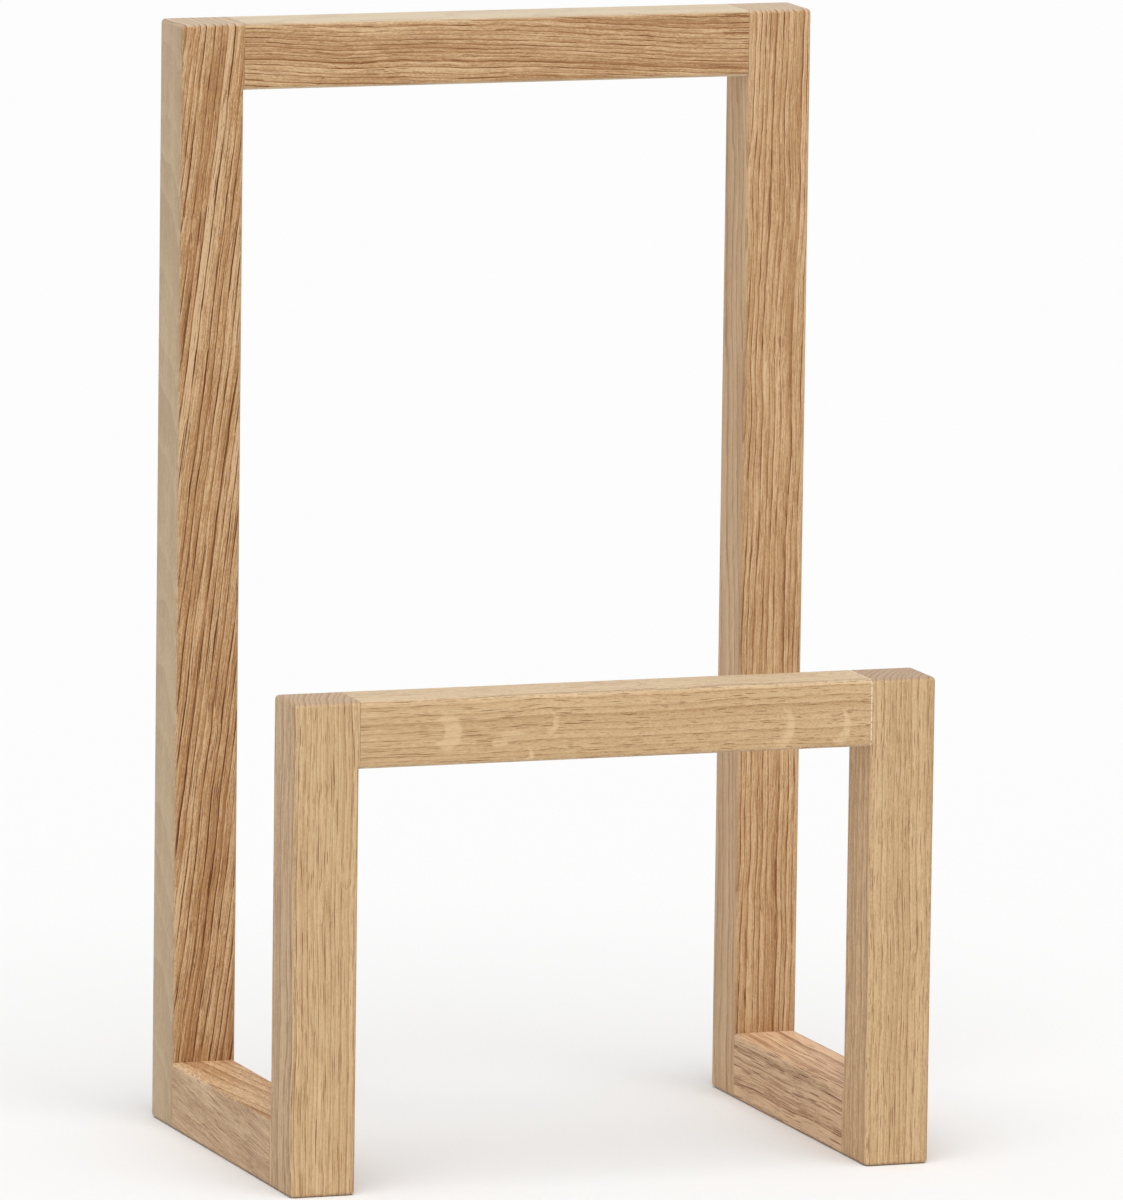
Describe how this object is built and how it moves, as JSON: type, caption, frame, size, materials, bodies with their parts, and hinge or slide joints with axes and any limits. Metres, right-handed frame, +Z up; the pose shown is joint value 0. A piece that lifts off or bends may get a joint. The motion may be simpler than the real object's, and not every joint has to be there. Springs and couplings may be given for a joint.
{
  "type": "magazine holder",
  "caption": "Oak magazine holder: a tall rear frame with a carrying rail and a low front frame, joined at the floor by runners that carry magazines in the open slot between.",
  "frame": {"origin": "on the floor, under the middle of the overall box", "axes": "+Z up; +X to the right and +Y to the rear, seen by someone facing the low front frame"},
  "size_m": [0.15, 0.1, 0.25],
  "materials": {
    "oak": "solid oak, sanded, matt oil",
    "beech": "raw fluted beech"
  },
  "bodies": {
    "root": {"front_left_post": "oak", "front_rail_left_lower_dowel": "beech", "front_rail_left_upper_dowel": "beech", "front_rail_right_lower_dowel": "beech", "front_rail_right_upper_dowel": "beech", "front_right_post": "oak", "front_top_rail": "oak", "left_runner": "oak", "left_runner_front_lower_dowel": "beech", "left_runner_front_upper_dowel": "beech", "left_runner_rear_lower_dowel": "beech", "left_runner_rear_upper_dowel": "beech", "rear_left_upright": "oak", "rear_rail_left_lower_dowel": "beech", "rear_rail_left_upper_dowel": "beech", "rear_rail_right_lower_dowel": "beech", "rear_rail_right_upper_dowel": "beech", "rear_right_upright": "oak", "rear_top_rail": "oak", "right_runner": "oak", "right_runner_front_lower_dowel": "beech", "right_runner_front_upper_dowel": "beech", "right_runner_rear_lower_dowel": "beech", "right_runner_rear_upper_dowel": "beech"}
  },
  "joints": []
}
